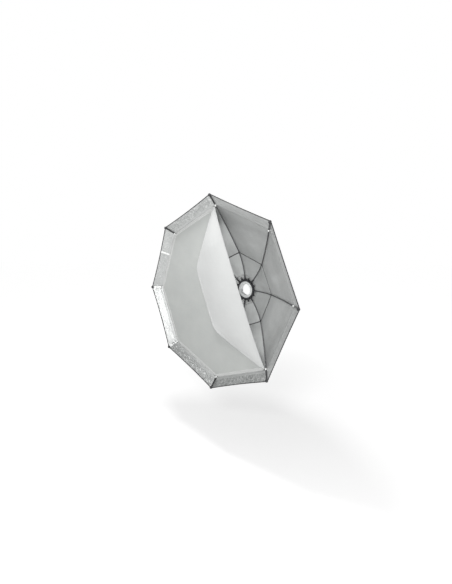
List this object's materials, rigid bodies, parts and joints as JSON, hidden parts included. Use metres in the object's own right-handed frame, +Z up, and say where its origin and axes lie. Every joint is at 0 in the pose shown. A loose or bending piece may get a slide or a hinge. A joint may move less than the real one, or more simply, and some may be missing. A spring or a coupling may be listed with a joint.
{
  "type": "studio softbox",
  "caption": "Octagonal softbox on a rotating speedring: silver-lined fabric shell on bowed rods, recessed white front diffuser with a fold-over flap, bayonet mount at the rear",
  "frame": {"origin": "centre of the mount bore, on the rear face of the mount insert", "axes": "+Y back towards the lamp head along the optical axis, +Z up, +X to the right seen from the front"},
  "size_m": [1.504, 0.4757, 1.504],
  "materials": {
    "silver_lining": "metallised woven nylon, silver inside and black outside",
    "black_nylon": "black nylon webbing and binding",
    "white_cloth": "white translucent diffusion cloth",
    "dark_alloy": "black anodised, satin",
    "light_alloy": "turned, clear anodised",
    "rod_steel": "dark spring steel",
    "grip_plastic": "moulded grip",
    "screw_steel": "plated"
  },
  "bodies": {
    "insert": {"mount_insert": "light_alloy"},
    "box": {"speedring_body": "dark_alloy", "retaining_ring": "dark_alloy", "retaining_screws": "screw_steel", "spare_sockets": "dark_alloy", "collar_cord": "black_nylon", "lock_washer_a": "screw_steel", "lock_washer_b": "screw_steel", "rod_socket_1": "dark_alloy", "rod_socket_2": "dark_alloy", "rod_socket_3": "dark_alloy", "rod_socket_4": "dark_alloy", "rod_socket_5": "dark_alloy", "rod_socket_6": "dark_alloy", "rod_socket_7": "dark_alloy", "rod_socket_8": "dark_alloy", "rod_1": "rod_steel", "rod_2": "rod_steel", "rod_3": "rod_steel", "rod_4": "rod_steel", "rod_5": "rod_steel", "rod_6": "rod_steel", "rod_7": "rod_steel", "rod_8": "rod_steel", "outer_panel_1": "silver_lining", "outer_panel_2": "silver_lining", "outer_panel_3": "silver_lining", "outer_panel_4": "silver_lining", "outer_panel_5": "silver_lining", "outer_panel_6": "silver_lining", "outer_panel_7": "silver_lining", "outer_panel_8": "silver_lining", "inner_panel_1": "silver_lining", "inner_panel_2": "silver_lining", "inner_panel_3": "silver_lining", "inner_panel_4": "silver_lining", "inner_panel_5": "silver_lining", "inner_panel_6": "silver_lining", "inner_panel_7": "silver_lining", "inner_panel_8": "silver_lining", "mid_seam_tape": "black_nylon", "diffuser_loop_tape": "white_cloth", "rim_binding": "black_nylon", "corner_pockets": "black_nylon", "rod_keeper_loops": "black_nylon", "diffuser_corner_tabs": "white_cloth", "rear_collar": "black_nylon"},
    "lock_screw_a": {"lock_knob_a": "grip_plastic", "lock_stud_a": "screw_steel"},
    "lock_screw_b": {"lock_knob_b": "grip_plastic", "lock_stud_b": "screw_steel"},
    "diffuser": {"diffuser_panel": "white_cloth", "diffuser_hem": "white_cloth"},
    "flap": {"flap_panel": "white_cloth", "flap_hem": "white_cloth"}
  },
  "joints": [
    {"name": "box_rotation", "type": "hinge", "parent": "insert", "child": "box", "pos_m": [0, 0, 0], "axis": [0, 1, 0], "continuous": true},
    {"name": "lock_turn_a", "type": "hinge", "parent": "box", "child": "lock_screw_a", "pos_m": [0.08472, -0.0115, 0.03509], "axis": [0.9239, 0, 0.3827], "range_deg": [-150, 540]},
    {"name": "lock_turn_b", "type": "hinge", "parent": "box", "child": "lock_screw_b", "pos_m": [-0.08472, -0.0115, -0.03509], "axis": [-0.9239, 0, -0.3827], "range_deg": [-150, 540]},
    {"name": "diffuser_pull", "type": "slide", "parent": "box", "child": "diffuser", "axis": [0, -1, 0], "range_m": [0, 0.25]},
    {"name": "flap_fold", "type": "hinge", "parent": "diffuser", "child": "flap", "pos_m": [0.23013, -0.4075, 0.09532], "axis": [-0.3827, 0, 0.9239], "range_deg": [0, 180]}
  ]
}
